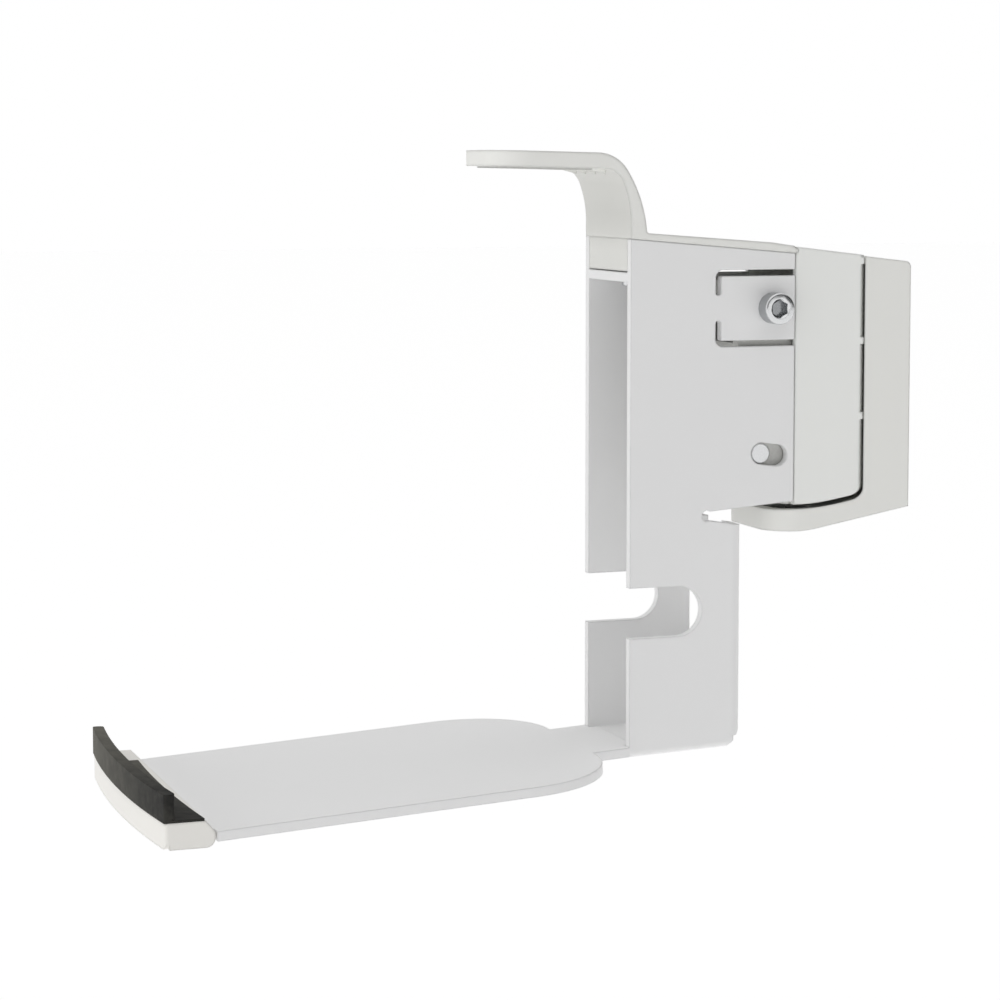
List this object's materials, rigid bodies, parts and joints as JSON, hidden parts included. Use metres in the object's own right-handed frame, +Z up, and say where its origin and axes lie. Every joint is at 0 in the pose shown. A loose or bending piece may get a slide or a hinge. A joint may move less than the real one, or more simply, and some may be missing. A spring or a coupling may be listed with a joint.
{
  "type": "speaker wall bracket",
  "caption": "Wall bracket for a compact loudspeaker: swivelling moulded block, folded steel column with speaker plate, moulded top hook, lipped front edge and tilt adjustment.",
  "frame": {"origin": "centre of the face of the wall plate that lies on the wall", "axes": "+Y out of the back of the bracket into the wall, -Y into the room, +Z up, +X to the right of someone who looks at the wall"},
  "size_m": [0.1048, 0.2575, 0.201],
  "materials": {
    "white_coated_steel": "satin white powder coat",
    "white_plastic": "matte white moulding",
    "black_rubber": "black soft rubber",
    "plated_steel": "zinc plated",
    "cast_alloy": "as cast",
    "bush_bronze": "sintered bronze",
    "disc_material": "friction lining"
  },
  "bodies": {
    "wall_mount": {"wall_plate": "white_plastic", "pivot_plate": "plated_steel", "pivot_plate_screws": "plated_steel", "pivot_post": "plated_steel", "disc_springs": "plated_steel", "lock_nut": "plated_steel"},
    "swivel_block": {"swivel_shell": "white_plastic", "swivel_core": "cast_alloy", "lower_bush": "bush_bronze", "upper_bush": "bush_bronze", "guide_pin": "plated_steel", "clamp_screws": "plated_steel", "friction_discs": "disc_material", "shell_screws": "plated_steel"},
    "speaker_column": {"column": "white_coated_steel", "top_hook": "white_plastic", "hook_screws": "plated_steel", "front_lip": "white_plastic", "lip_rubber": "black_rubber", "lip_screws": "plated_steel"}
  },
  "joints": [
    {"name": "swivel", "type": "hinge", "parent": "wall_mount", "child": "swivel_block", "pos_m": [0, -0.0395, 0], "axis": [0, 0, 1], "range_deg": [-40, 40]},
    {"name": "tilt", "type": "hinge", "parent": "swivel_block", "child": "speaker_column", "pos_m": [0, -0.04088, 0.04372], "axis": [-1, 0, 0], "range_deg": [0, 5]}
  ]
}
